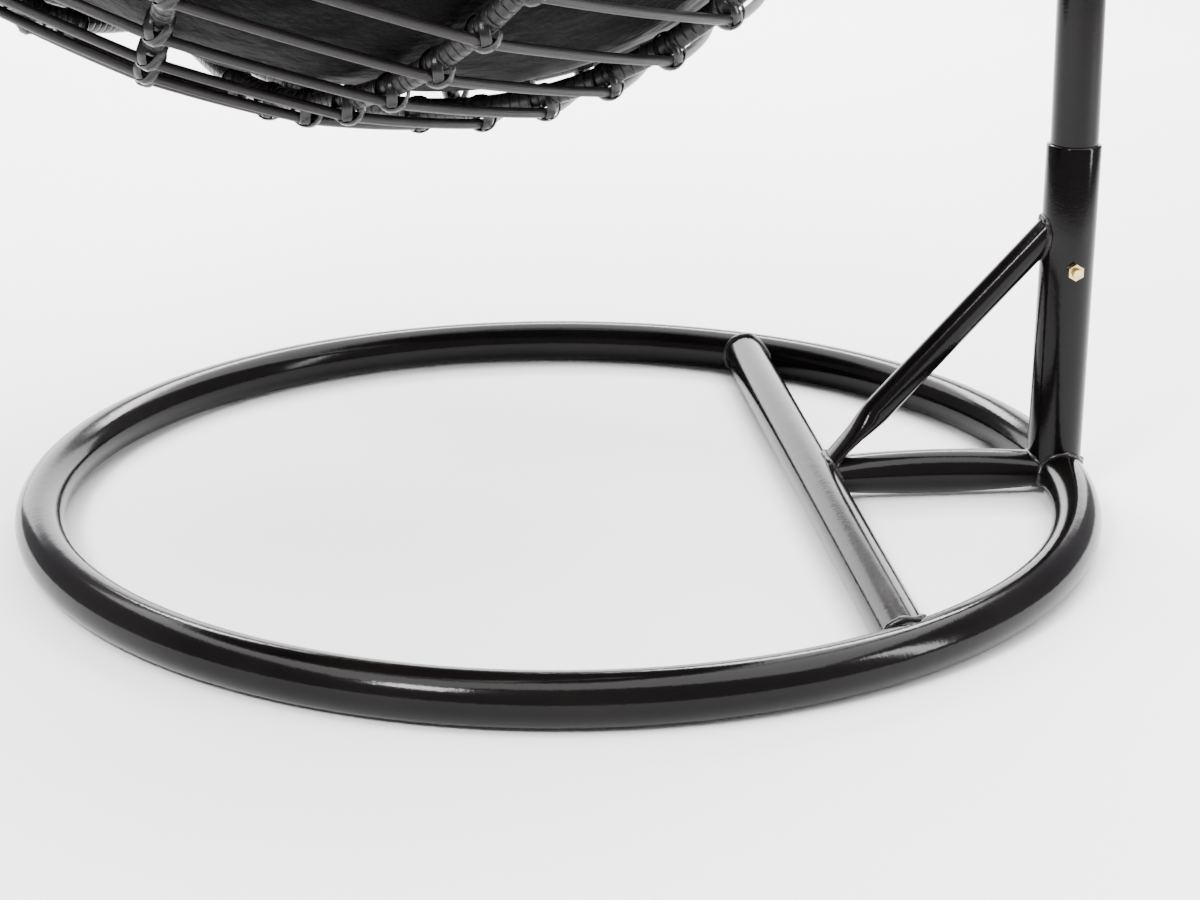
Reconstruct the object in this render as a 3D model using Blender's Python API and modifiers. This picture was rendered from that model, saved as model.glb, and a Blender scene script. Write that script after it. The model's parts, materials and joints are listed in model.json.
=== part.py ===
"""Hanging egg chair: round tube stand, arch, sprung hanger, woven egg basket and cushions.

Metres, +Z up. +X runs from the middle of the base ring towards the post, z = 0 is the floor.
"""
import bpy
import bmesh
import math
from math import sin, cos, pi, radians
from mathutils import Vector

# ---- driving dimensions ------------------------------------------------------------------
GAP = 0.0003                  # clearance kept between touching pieces

RING_X, RING_Y = 0.1000, -0.0273  # base ring centre, which puts the origin under the middle
RING_R = 0.454                # base ring, tube centre line
TUBE_R = 0.021                # 42 mm tube: ring, crossbar, post and arch
CROSSBAR_X = 0.229            # crossbar, from the ring's centre towards the post
STRUT_R = 0.019
BRACE_R = 0.0125
BRACE_LOW = (0.243, 0.0345)   # brace centre line, (x, z) at its ends
BRACE_HIGH = (0.440, 0.2517)
POST_X = 0.4515
SLEEVE_R, SLEEVE_BORE = 0.024, 0.0216
SLEEVE_Z = (0.030, 0.322)
TUBE_BORE = 0.0195
POST_Z = (0.150, 1.020)       # straight post tube, its foot inside the sleeve
POST_LEAN = 0.0187            # how far the post leans towards the ring's centre, per metre
LEAN_FROM_Z = 0.330
ARCH_START_Z = 1.600
ARCH_R = 0.330
ARCH_END = radians(45)        # how far the arch runs past its highest point
SPIGOT_R = 0.0191
SPIGOT_HALF = 0.080
BASE_BOLT_Z = 0.213
ARCH_BOLT_Z = 0.965
BOLT_R, BOLT_HOLE_R = 0.004, 0.0046
NUT_R, NUT_H, HEAD_H = 0.0075, 0.0065, 0.0053
BOLT_TAIL = 0.0055

HOOK_X = -0.0924              # the hanging axis, from the ring's centre
EYE_R, EYE_WIRE = 0.016, 0.004
LINK_WIRE = 0.003
LINK_BEND = EYE_WIRE + LINK_WIRE + GAP
LINK_DROP = 0.031             # between the centres of a link's two bends
COIL_R, COIL_WIRE = 0.0150, 0.0022
COIL_TURNS = 9
COIL_LENGTH = 0.076
SWIVEL_Z = 1.640              # underside of the swivel cup
SWIVEL_EYE_R = 0.0110
BOW_WIRE = 0.0040
SNAP_BEND = LINK_WIRE + BOW_WIRE + GAP
SNAP_DROP = 0.030

BASKET_TILT = radians(21.8)   # the egg leans back
BASKET_YAW = radians(-16.0)   # and hangs turned a little from the stand
POLE_REACH = 0.2515           # lowest pole of the egg, in front of the hanging axis
POLE_Z = 0.4175
SHELL_ARC = 0.444             # radius of the meridian's lower arc
SHELL_INSET = 0.0795          # how far that arc's centre stands from the egg's axis
TOP_H = 1.098                 # height of the top ring along the egg's axis
TOP_SHIFT = -0.170            # the egg's axis bends forwards to the hanging axis
TOP_RING_R = 0.050
HOOP_WIRE = 0.0042
RIB_WIRE = 0.0090
RIM_WIRE = 0.0110
RING_WIRE = 0.0060
RIB_COUNT = 12
LOWER_HOOPS, UPPER_HOOPS = 11, 10
HOOP_STEP = radians(7.6)      # between the lower hoops, as an angle of the meridian's arc
FIRST_HOOP = radians(7.8)
BOTTOM_RING_R = 0.045
OPENING_LOW = (-0.400, 0.130)  # plane of the front opening, (x, h) at its lip and its top
OPENING_TOP = (-0.262, 1.080)
HOOP_POINTS = 24

RIB_DEPTH = HOOP_WIRE + RIB_WIRE + 0.0004   # ribs run inside the hoops
CUSHION_DEPTH = RIB_DEPTH + RIB_WIRE + 0.0040
LEAN_ROOM = 0.45              # extra depth near the top, where the egg's back leans over its hoops
WIDEST_H = SHELL_ARC
WIDEST_R = SHELL_ARC + SHELL_INSET

STEEL = ("frame_black", (0.012, 0.011, 0.012), 0.22, 0.0)
ZINC = ("bolt_zinc", (0.62, 0.48, 0.24), 0.32, 1.0)
BRIGHT = ("hanger_steel", (0.55, 0.55, 0.56), 0.30, 1.0)
CANE = ("cane_black", (0.030, 0.028, 0.029), 0.45, 0.0)
WRAP = ("cane_wrap", (0.022, 0.021, 0.022), 0.38, 0.0)
CLOTH = ("cushion_cloth", (0.020, 0.020, 0.022), 0.85, 0.0)
PLASTIC = ("cap_plastic", (0.020, 0.020, 0.020), 0.50, 0.0)


# ---- helpers -----------------------------------------------------------------------------
def clear_scene():
    for item in list(bpy.data.objects):
        bpy.data.objects.remove(item)


def collection(name):
    made = bpy.data.collections.new(name)
    bpy.context.scene.collection.children.link(made)
    return made


def material(spec):
    name, colour, roughness, metallic = spec
    made = bpy.data.materials.get(name)
    if made is None:
        made = bpy.data.materials.new(name)
        made.use_nodes = True
        shader = made.node_tree.nodes["Principled BSDF"]
        shader.inputs["Base Color"].default_value = (*colour, 1.0)
        shader.inputs["Roughness"].default_value = roughness
        shader.inputs["Metallic"].default_value = metallic
    return made


def add_object(name, data, parent, spec):
    made = bpy.data.objects.new(name, data)
    made.parent = parent
    PARTS.objects.link(made)
    if spec is not None:
        data.materials.append(material(spec))
    return made


def empty(name, parent, location, rotation=(0.0, 0.0, 0.0)):
    made = add_object(name, None, parent, None)
    made.location = location
    made.rotation_euler = rotation
    return made


def rod(name, points, radius, parent, spec, closed=False, sides=6):
    """A round rod or tube along a list of points."""
    curve = bpy.data.curves.new(name, "CURVE")
    curve.dimensions = "3D"
    curve.bevel_depth = radius
    curve.bevel_resolution = (sides - 4) // 2
    curve.use_fill_caps = True
    spline = curve.splines.new("POLY")
    spline.points.add(len(points) - 1)
    for place, point in zip(spline.points, points):
        place.co = (*point, 1.0)
    spline.use_cyclic_u = closed
    return add_object(name, curve, parent, spec)


def solid_from(piece):
    """Turn a curve object into a closed mesh object, so that it can be cut."""
    bpy.context.view_layer.update()
    seen = piece.evaluated_get(bpy.context.evaluated_depsgraph_get())
    mesh = bpy.data.meshes.new_from_object(seen)
    shape = bmesh.new()
    shape.from_mesh(mesh)
    bmesh.ops.remove_doubles(shape, verts=shape.verts, dist=0.00001)
    bmesh.ops.recalc_face_normals(shape, faces=shape.faces)
    shape.to_mesh(mesh)
    shape.free()
    name, parent = piece.name, piece.parent
    bpy.data.objects.remove(piece)
    made = bpy.data.objects.new(name, mesh)
    made.parent = parent
    PARTS.objects.link(made)
    return made


def solid_rod(name, points, radius, parent, spec, closed=False, sides=12):
    return solid_from(rod(name, points, radius, parent, spec, closed, sides))


def as_cutter(piece):
    PARTS.objects.unlink(piece)
    CUTTERS.objects.link(piece)
    piece.hide_render = True
    piece.display_type = "WIRE"
    return piece


def boolean(piece, other, operation="DIFFERENCE"):
    step = piece.modifiers.new(operation.lower(), "BOOLEAN")
    step.operation = operation
    step.solver = "EXACT"
    step.object = as_cutter(other)


def from_bmesh(name, shape, parent, spec, smooth=True):
    mesh = bpy.data.meshes.new(name)
    bmesh.ops.recalc_face_normals(shape, faces=shape.faces)
    shape.to_mesh(mesh)
    shape.free()
    if smooth:
        mesh.shade_smooth()
        mesh.set_sharp_from_angle(angle=radians(35))
    return add_object(name, mesh, parent, spec)


def cylinder(name, radius, low, high, axis, parent, spec, sides=16):
    """A cylinder from low to high along X, Y or Z, both given in the parent's frame."""
    shape = bmesh.new()
    length = (Vector(high) - Vector(low)).length
    bmesh.ops.create_cone(shape, cap_ends=True, segments=sides, radius1=radius, radius2=radius,
                          depth=length)
    made = from_bmesh(name, shape, parent, spec)
    made.location = (Vector(low) + Vector(high)) / 2
    made.rotation_euler = {"X": (0, pi / 2, 0), "Y": (pi / 2, 0, 0), "Z": (0, 0, 0)}[axis]
    return made


def loft(name, sections, parent, spec, sides=16):
    """Skin elliptical sections: (x, z) centre, direction in the XZ plane, half width, half height."""
    shape = bmesh.new()
    rings = []
    for (x, z), (dx, dz), half_width, half_height in sections:
        ring = []
        for step in range(sides):
            angle = 2 * pi * (step + 0.5) / sides
            lift = half_height * sin(angle)
            ring.append(shape.verts.new((x - dz * lift, half_width * cos(angle), z + dx * lift)))
        rings.append(ring)
    for lower, upper in zip(rings, rings[1:]):
        for step in range(sides):
            after = (step + 1) % sides
            shape.faces.new((lower[step], lower[after], upper[after], upper[step]))
    shape.faces.new(rings[0])
    shape.faces.new(rings[-1])
    return from_bmesh(name, shape, parent, spec)


def turned(name, profile, parent, spec, steps=20):
    """Turn an (r, z) profile, given from the top down, about the parent's Z axis."""
    mesh = bpy.data.meshes.new(name)
    points = [(r, 0.0, z) for r, z in profile]
    mesh.from_pydata(points, [(i, i + 1) for i in range(len(points) - 1)], [])
    made = add_object(name, mesh, parent, spec)
    screw = made.modifiers.new("turn", "SCREW")
    screw.steps = steps
    screw.render_steps = steps
    screw.use_merge_vertices = True
    screw.merge_threshold = 0.00005
    return made


def circle(radius, count, height=0.0, x=0.0):
    turn = [2 * pi * step / count for step in range(count)]
    return [(x + radius * cos(a), radius * sin(a), height) for a in turn]


# ---- the stand ---------------------------------------------------------------------------
def post_x(z):
    return POST_X - POST_LEAN * max(0.0, z - LEAN_FROM_Z)


def ring_points(count=52):
    return circle(RING_R, count, TUBE_R)


def base_ring_cutter(name):
    return solid_rod(name, ring_points(), TUBE_R / cos(pi / 14) + GAP, STAND, None, True, 14)


def make_base_ring():
    rod("base_ring", ring_points(), TUBE_R / cos(pi / 14), STAND, STEEL, True, 14)


def crossbar_points(reach):
    return [(CROSSBAR_X, -reach, TUBE_R), (CROSSBAR_X, reach, TUBE_R)]


def make_crossbar():
    bar = solid_rod("base_crossbar", crossbar_points(RING_R), TUBE_R, STAND, STEEL, sides=14)
    disc = cylinder("crossbar_trim", RING_R, (0, 0, -0.05), (0, 0, 0.10), "Z", STAND, None, 96)
    boolean(bar, disc, "INTERSECT")
    boolean(bar, base_ring_cutter("crossbar_saddle"))


def crossbar_cutter(name):
    return solid_rod(name, crossbar_points(0.3), TUBE_R + GAP, STAND, None, sides=14)


def strut_sections():
    """A tube pinched flat at both ends, so that it is low and wide there."""
    low, high = CROSSBAR_X + 0.010, POST_X - 0.010
    rows = []
    for step in range(9):
        share = step / 8
        belly = sin(pi * share) ** 0.6 if 0 < share < 1 else 0.0
        half_height = 0.0130 + (STRUT_R + 0.0010 - 0.0130) * belly
        half_width = 0.0235 + (STRUT_R - 0.0235) * belly
        rows.append(((low + (high - low) * share, TUBE_R + 0.001), (1, 0), half_width, half_height))
    return rows


def make_strut():
    strut = loft("base_strut", strut_sections(), STAND, STEEL)
    boolean(strut, crossbar_cutter("strut_crossbar_saddle"))
    boolean(strut, base_ring_cutter("strut_ring_saddle"))
    boolean(strut, sleeve_cutter("strut_sleeve_saddle"))


def sleeve_cutter(name):
    low, high = (POST_X, 0, SLEEVE_Z[0] - GAP), (POST_X, 0, SLEEVE_Z[1])
    return cylinder(name, SLEEVE_R + GAP, low, high, "Z", STAND, None, 28)


def brace_sections():
    """A round tube whose foot is pressed flat, to sit on the crossbar and the strut."""
    (x0, z0), (x1, z1) = BRACE_LOW, BRACE_HIGH
    length = math.hypot(x1 - x0, z1 - z0)
    along = ((x1 - x0) / length, (z1 - z0) / length)
    foot = ((0.0, 0.0165, 0.0055), (0.016, 0.0165, 0.0060), (0.034, 0.0160, 0.0085),
            (0.050, 0.0140, 0.0112), (0.062, BRACE_R, BRACE_R), (length, BRACE_R, BRACE_R))
    return [((x0 + along[0] * t, z0 + along[1] * t), along, wide, deep) for t, wide, deep in foot]


def make_brace():
    brace = loft("base_brace", brace_sections(), STAND, STEEL)
    sunk = [(centre, way, wide + GAP, tall + GAP) for centre, way, wide, tall in strut_sections()]
    boolean(brace, loft("brace_strut_saddle", sunk, STAND, None))
    boolean(brace, crossbar_cutter("brace_crossbar_saddle"))
    boolean(brace, sleeve_cutter("brace_sleeve_saddle"))


def bolt_hole(name, z):
    x = post_x(z)
    return cylinder(name, BOLT_HOLE_R, (x, -0.05, z), (x, 0.05, z), "Y", STAND, None, 12)


def make_sleeve():
    low, high = (POST_X, 0, SLEEVE_Z[0]), (POST_X, 0, SLEEVE_Z[1])
    sleeve = cylinder("lower_post", SLEEVE_R, low, high, "Z", STAND, STEEL, 28)
    floor_z = POST_Z[0] - 0.004
    bore = cylinder("lower_post_bore", SLEEVE_BORE, (POST_X, 0, floor_z), (POST_X, 0, 0.4), "Z",
                    STAND, None, 28)
    boolean(sleeve, bore)
    boolean(sleeve, base_ring_cutter("lower_post_saddle"))
    boolean(sleeve, bolt_hole("lower_post_hole", BASE_BOLT_Z))


def post_points(low, high):
    heights = [low, LEAN_FROM_Z, high] if low < LEAN_FROM_Z else [low, high]
    return [(post_x(z), 0.0, z) for z in heights]


def make_post_tube():
    tube = solid_rod("post_tube", post_points(*POST_Z), TUBE_R, STAND, STEEL, sides=16)
    bore = solid_rod("post_tube_bore", post_points(POST_Z[0] - 0.01, POST_Z[1] + 0.01), TUBE_BORE,
                     STAND, None, sides=16)
    boolean(tube, bore)
    boolean(tube, bolt_hole("post_tube_foot_hole", BASE_BOLT_Z))
    boolean(tube, bolt_hole("post_tube_head_hole", ARCH_BOLT_Z))


def arch_points(extra=0.0):
    """Straight up from the post, then a round crook over to the hanging axis."""
    centre = Vector((post_x(ARCH_START_Z) - ARCH_R, 0.0, ARCH_START_Z))
    points = [Vector((post_x(z), 0.0, z)) for z in (POST_Z[1] + GAP - extra, 1.35)]
    sweep = pi / 2 + ARCH_END
    steps = 16
    for step in range(steps + 1):
        angle = sweep * step / steps
        points.append(centre + ARCH_R * Vector((cos(angle), 0.0, sin(angle))))
    points[-1] += (points[-1] - points[-2]).normalized() * extra
    return points


def make_arch_tube():
    tube = solid_rod("arch_tube", arch_points(), TUBE_R, STAND, STEEL, sides=14)
    boolean(tube, solid_rod("arch_tube_bore", arch_points(0.01), TUBE_BORE, STAND, None, sides=14))


def make_spigot():
    points = post_points(POST_Z[1] - SPIGOT_HALF, POST_Z[1] + SPIGOT_HALF)
    spigot = solid_rod("arch_spigot", points, SPIGOT_R - GAP, STAND, STEEL, sides=14)
    boolean(spigot, bolt_hole("arch_spigot_hole", ARCH_BOLT_Z))


def make_end_cap():
    """Domed plug in the arch's open end: a flange with a stem in the bore."""
    points = arch_points()
    way = (points[-1] - points[-2]).normalized()
    cap = empty("arch_cap_axis", STAND, points[-1])
    cap.rotation_euler = way.to_track_quat("Z", "Y").to_euler()
    stem = TUBE_BORE - 0.0009
    profile = [(0, 0.0050), (0.010, 0.0045), (0.017, 0.0030), (TUBE_R, 0.0012), (TUBE_R, GAP),
               (stem, GAP), (stem, -0.018), (0, -0.018)]
    turned("arch_end_cap", profile, cap, PLASTIC)


def make_bolt(prefix, z, seat):
    """A bolt across the post: head on the far side, nut on the near side."""
    x = post_x(z)
    face = seat + GAP
    bolt = cylinder(prefix + "_bolt", BOLT_R, (x, -face - NUT_H - BOLT_TAIL, z),
                    (x, face + HEAD_H / 2, z), "Y", STAND, ZINC, 12)
    head = cylinder(prefix + "_bolt_head", NUT_R, (x, face, z), (x, face + HEAD_H, z), "Y",
                    STAND, None, 6)
    boolean(bolt, head, "UNION")
    nut = cylinder(prefix + "_nut", NUT_R, (x, -face - NUT_H, z), (x, -face, z), "Y", STAND,
                   ZINC, 6)
    bore = cylinder(prefix + "_nut_bore", BOLT_R + GAP, (x, -0.06, z), (x, 0.0, z), "Y", STAND,
                    None, 12)
    boolean(nut, bore)


def eye_centre_z():
    """Height at which the eye just clears the underside of the sloping arch end."""
    centre_x = post_x(ARCH_START_Z) - ARCH_R
    angle = math.asin((centre_x - HOOK_X) / ARCH_R)
    tube_z = ARCH_START_Z + ARCH_R * cos(angle)
    return tube_z - (TUBE_R + EYE_R + EYE_WIRE + 0.0020) / cos(angle)


def make_arch_eye():
    points = [(HOOK_X + EYE_R * cos(a), 0.0, EYE_Z + EYE_R * sin(a))
              for a in (2 * pi * step / 20 for step in range(20))]
    rod("arch_eye", points, EYE_WIRE, STAND, STEEL, True, 8)


# ---- the hanger --------------------------------------------------------------------------
def link_points(bend, drop, steps=8):
    """A long round link in the YZ plane; its upper bend is centred on the parent."""
    top = [(0.0, bend * cos(a), bend * sin(a)) for a in (pi * s / steps for s in range(steps + 1))]
    return top + [(0.0, -y, -z - drop) for _, y, z in top]


def make_upper_link():
    rod("upper_link", link_points(LINK_BEND, LINK_DROP), LINK_WIRE, SIDE, BRIGHT, True)


def hook_loop(radius, neck, steps=12):
    """A loop in the XZ plane round the parent's origin, closed down to a straight neck."""
    points = [(0.0, 0.0, -neck)]
    for step in range(steps + 1):
        angle = -pi / 2 + 0.35 + (2 * pi - 0.9) * step / steps
        points.append((radius * cos(angle), 0.0, radius * sin(angle)))
    return points


def make_spring_top():
    """Loop over the link, with a plug that holds the spring's upper end."""
    loop = 2 * LINK_WIRE + GAP
    hook = solid_rod("spring_top_hook", hook_loop(loop, 0.026), LINK_WIRE, FORE, BRIGHT, sides=8)
    plug = cylinder("spring_top_plug", COIL_R - COIL_WIRE - 0.0012, (0, 0, -0.034), (0, 0, -0.020),
                    "Z", FORE, None, 16)
    boolean(hook, plug, "UNION")


def make_spring_coil():
    top = SPRING_TOP_Z - FORE_Z
    count = COIL_TURNS * 9
    points = []
    for step in range(count + 1):
        share = step / count
        angle = 2 * pi * COIL_TURNS * share
        points.append((COIL_R * cos(angle), COIL_R * sin(angle), top - COIL_LENGTH * share))
    rod("spring_coil", points, COIL_WIRE, FORE, BRIGHT)


def make_swivel_cup():
    """Plug in the spring's lower end, and the open-bottomed cup that the swivel's head turns in."""
    plug = COIL_R - COIL_WIRE - 0.0012
    profile = [(0, 0.044), (plug, 0.044), (plug, 0.030), (0.0060, 0.028), (0.0060, 0.024),
               (0.0120, 0.022), (0.0130, 0.019), (0.0130, 0.001), (0.0120, 0.0), (0.0052, 0.0),
               (0.0052, 0.0035), (0.0100, 0.0035), (0.0100, 0.0160), (0, 0.0160)]
    turned("swivel_cup", profile, BOUNCE, BRIGHT)


def make_swivel_eye():
    """Headed pin captured in the cup, with an eye under it."""
    head = [(0, 0.0150), (0.0090, 0.0150), (0.0090, 0.0045), (0.0045, 0.0045), (0.0045, -0.0080),
            (0, -0.0080)]
    eye = turned("swivel_eye", head, FACING, BRIGHT, 16)
    ring = [(0.0, SWIVEL_EYE_R * cos(a), -SWIVEL_EYE_DROP + SWIVEL_EYE_R * sin(a))
            for a in (2 * pi * step / 16 for step in range(16))]
    boolean(eye, solid_rod("swivel_eye_ring", ring, LINK_WIRE, FACING, None, True, 8), "UNION")


def make_snap_link():
    """Long link across the swivel's eye; the basket's bow hangs in its lower bend."""
    seat = empty("snap_link_axis", FACING, (0, 0, -SWIVEL_EYE_DROP - SWIVEL_EYE_R),
                 (0.0, 0.0, pi / 2))
    rod("snap_link", link_points(SNAP_BEND, SNAP_DROP), LINK_WIRE, seat, BRIGHT, True)


# ---- the egg basket ----------------------------------------------------------------------
def upper_share(h):
    return min(1.0, max(0.0, (h - WIDEST_H) / (TOP_H - WIDEST_H)))


def shell_radius(h):
    """Radius of the hoops' surface at height h along the egg's axis."""
    if h <= WIDEST_H:
        return SHELL_INSET + math.sqrt(max(0.0, SHELL_ARC ** 2 - (SHELL_ARC - h) ** 2))
    fall = math.sqrt(max(0.0, 1.0 - upper_share(h) ** 2.2))
    return TOP_RING_R + (WIDEST_R - TOP_RING_R) * fall


def shell_shift(h):
    """How far forwards the egg's middle has moved at height h."""
    share = min(1.0, max(0.0, (h - 0.25) / (TOP_H - 0.25)))
    return TOP_SHIFT * share ** 1.6


def meridian(depth=0.0, steps=240):
    """(radius, height) points up the egg, set in from the hoops' surface by depth."""
    rows = []
    for step in range(steps + 1):
        angle = pi / 2 * step / steps
        rows.append((SHELL_INSET + SHELL_ARC * sin(angle), SHELL_ARC * (1 - cos(angle))))
    for step in range(1, steps + 1):
        h = WIDEST_H + (TOP_H - WIDEST_H) * sin(pi / 2 * step / steps)
        rows.append((shell_radius(h), h))
    if depth == 0.0:
        return rows
    inner = []
    for before, here, after in zip(rows, rows[1:], rows[2:]):
        way = Vector(after) - Vector(before)
        inward = Vector((-way.y, way.x)).normalized() * depth * (1 + LEAN_ROOM * upper_share(here[1]))
        inner.append((here[0] + inward.x, here[1] + inward.y))
    return inner


def resample(rows, count):
    """Points at equal distances along a line of (radius, height) points."""
    lengths = [0.0]
    for a, b in zip(rows, rows[1:]):
        lengths.append(lengths[-1] + math.dist(a, b))
    picked = []
    index = 0
    for step in range(count):
        target = lengths[-1] * step / (count - 1)
        while index < len(rows) - 2 and lengths[index + 1] < target:
            index += 1
        span = lengths[index + 1] - lengths[index]
        share = (target - lengths[index]) / span if span else 0.0
        a, b = rows[index], rows[index + 1]
        picked.append((a[0] + (b[0] - a[0]) * share, a[1] + (b[1] - a[1]) * share))
    return picked


def opening_x(h):
    (x0, h0), (x1, h1) = OPENING_LOW, OPENING_TOP
    return x0 + (x1 - x0) * (h - h0) / (h1 - h0)


def hoop_rows():
    """(radius, height) of every hoop, from the lowest up."""
    angles = [FIRST_HOOP + HOOP_STEP * step for step in range(LOWER_HOOPS)]
    rows = [(SHELL_INSET + SHELL_ARC * sin(a), SHELL_ARC * (1 - cos(a))) for a in angles]
    above = [row for row in meridian() if row[1] > rows[-1][1]]
    return rows + resample(above, UPPER_HOOPS + 2)[1:-1]


def make_hoops():
    margin = RIM_WIRE + HOOP_WIRE + 0.004
    for number, (radius, h) in enumerate(hoop_rows(), 1):
        middle = shell_shift(h)
        reach = (opening_x(h) + margin - middle) / radius
        name = f"hoop_{number:02d}"
        if reach <= -1.0 or h < OPENING_LOW[1] - 0.02:
            rod(name, circle(radius, HOOP_POINTS, h, middle), HOOP_WIRE, BASKET, CANE, True)
            continue
        limit = math.acos(min(1.0, reach))
        step = 2 * pi / HOOP_POINTS
        inner = [k * step for k in range(-HOOP_POINTS, HOOP_POINTS) if abs(k * step) < limit - 0.04]
        angles = [-limit] + inner + [limit]
        points = [(middle + radius * cos(a), radius * sin(a), h) for a in angles]
        rod(name, points, HOOP_WIRE, BASKET, CANE)


def rib_rows():
    inner = meridian(RIB_DEPTH)
    start = BOTTOM_RING_R + 2 * RIB_WIRE
    floor_h = inner[0][1]
    rows = [row for row in inner if row[1] < TOP_H - 0.030 and row[0] > 0.0]
    return [(start, floor_h)] + rows


def make_ribs():
    rows = resample(rib_rows(), 20)
    margin = RIM_WIRE + RIB_WIRE + 0.006
    for number in range(RIB_COUNT):
        angle = 2 * pi * (number + 0.5) / RIB_COUNT
        points = []
        for radius, h in rows:
            point = (shell_shift(h) + radius * cos(angle), radius * sin(angle), h)
            if point[0] < opening_x(h) + margin and h > OPENING_LOW[1] - 0.06:
                break
            points.append(point)
        rod(f"rib_{number + 1:02d}", points, RIB_WIRE, BASKET, WRAP)


def inside_shell(x, y, h):
    if not 0.0 < h < TOP_H:
        return False
    return math.hypot(x - shell_shift(h), y) < shell_radius(h) - RIB_DEPTH


def rim_points(count=40):
    """Where the opening's plane meets the inside of the egg."""
    (x0, h0), (x1, h1) = OPENING_LOW, OPENING_TOP
    way = Vector((x1 - x0, 0.0, h1 - h0)).normalized()
    middle = Vector((opening_x(0.60), 0.0, 0.60))
    points = []
    for step in range(count):
        angle = 2 * pi * step / count
        out = way * cos(angle) + Vector((0.0, sin(angle), 0.0))
        near, far = 0.0, 1.0
        for _ in range(40):
            half = (near + far) / 2
            if inside_shell(*(middle + out * half)):
                near = half
            else:
                far = half
        points.append(middle + out * near)
    return points


def make_basket_rings():
    rod("opening_rim", rim_points(), RIM_WIRE, BASKET, WRAP, True)
    rod("top_ring", circle(TOP_RING_R, 20, TOP_H, TOP_SHIFT), RING_WIRE, BASKET, STEEL, True)
    rod("bottom_ring", circle(BOTTOM_RING_R, 20, RIB_DEPTH), RING_WIRE, BASKET, STEEL, True)


def make_hanger_bow():
    """Bow over the top ring; the snap link holds it at the hanging axis."""
    apex = BOW_Z - POLE_Z
    x = POLE_REACH * cos(BASKET_TILT) - apex * sin(BASKET_TILT)
    h = POLE_REACH * sin(BASKET_TILT) + apex * cos(BASKET_TILT)
    foot_h = TOP_H + RING_WIRE + BOW_WIRE + 2 * GAP
    half = TOP_RING_R
    points = []
    for step in range(13):
        angle = pi * step / 12
        rise = sin(angle) ** 0.8 if 0 < angle < pi else 0.0
        points.append((TOP_SHIFT + (x - TOP_SHIFT) * rise, half * cos(angle),
                       foot_h + (h - foot_h) * rise))
    rod("hanger_bow", points, BOW_WIRE, BASKET, STEEL)


# ---- the cushions ------------------------------------------------------------------------
def make_seat_cushion():
    """Round pad that fills the bowl, dished on top."""
    outer = [row for row in meridian(CUSHION_DEPTH) if row[1] < 0.250]
    outer = resample([(0.0, outer[0][1])] + outer, 10)
    rim_r, rim_h = outer[-1]
    top = [(0.0, 0.120), (0.15, 0.133), (0.27, 0.172), (rim_r - 0.080, 0.250),
           (rim_r - 0.030, rim_h + 0.024)]
    profile = top + outer[::-1]
    turned("seat_cushion", profile, BASKET, CLOTH, 24)


def wall_radius(rows, h):
    """Radius of a meridian's line at height h."""
    for (r0, h0), (r1, h1) in zip(rows, rows[1:]):
        if h0 <= h <= h1:
            return r0 + (r1 - r0) * (h - h0) / (h1 - h0)
    return rows[-1][0]


def make_back_cushion():
    """Curved pad against the back of the egg."""
    across, up = 12, 8
    wall = meridian(CUSHION_DEPTH + 0.003)
    low_h, high_h = 0.315, 0.930
    half_angle = radians(72)
    shape = bmesh.new()
    bmesh.ops.create_grid(shape, x_segments=across, y_segments=up, size=1.0)
    for vert in shape.verts:
        angle = half_angle * vert.co.x
        h = low_h + (high_h - low_h) * (vert.co.y + 1) / 2
        radius = wall_radius(wall, h)
        vert.co = (shell_shift(h) + radius * cos(angle), radius * sin(angle), h)
    cushion = from_bmesh("back_cushion", shape, BASKET, CLOTH)
    shell = cushion.modifiers.new("padding", "SOLIDIFY")
    shell.thickness = 0.085
    shell.offset = -1.0


def main():
    make_base_ring()
    make_crossbar()
    make_strut()
    make_brace()
    make_sleeve()
    make_post_tube()
    make_arch_tube()
    make_spigot()
    make_end_cap()
    make_bolt("base", BASE_BOLT_Z, SLEEVE_R)
    make_bolt("arch", ARCH_BOLT_Z, TUBE_R)
    make_arch_eye()
    make_upper_link()
    make_spring_top()
    make_spring_coil()
    make_swivel_cup()
    make_swivel_eye()
    make_snap_link()
    make_hoops()
    make_ribs()
    make_basket_rings()
    make_hanger_bow()
    make_seat_cushion()
    make_back_cushion()


clear_scene()
PARTS = collection("hanging_egg_chair")
CUTTERS = collection("cutters")
EYE_Z = eye_centre_z()
SIDE_Z = EYE_Z - EYE_R                        # side swing turns on the eye's wire
FORE_Z = SIDE_Z - LINK_DROP - LINK_BEND       # fore swing turns on the link's lower bend
SPRING_TOP_Z = FORE_Z - 0.018
SWIVEL_EYE_DROP = 0.0055 + SWIVEL_EYE_R
BOW_Z = SWIVEL_Z - SWIVEL_EYE_DROP - SWIVEL_EYE_R - SNAP_DROP

STAND = empty("stand", None, (RING_X, RING_Y, 0.0))
SIDE = empty("swing_side_axis", STAND, (HOOK_X, 0.0, SIDE_Z))
FORE = empty("swing_fore_axis", SIDE, (0.0, 0.0, FORE_Z - SIDE_Z))
BOUNCE = empty("bounce_axis", FORE, (0.0, 0.0, SWIVEL_Z - FORE_Z))
SWIVEL = empty("swivel_axis", BOUNCE, (0.0, 0.0, 0.0))
FACING = empty("facing_axis", SWIVEL, (0.0, 0.0, 0.0), (0.0, 0.0, BASKET_YAW))
BASKET = empty("basket_axis", SWIVEL,
               (-POLE_REACH * cos(BASKET_YAW), -POLE_REACH * sin(BASKET_YAW), POLE_Z - SWIVEL_Z),
               (0.0, BASKET_TILT, BASKET_YAW))
main()
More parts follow.
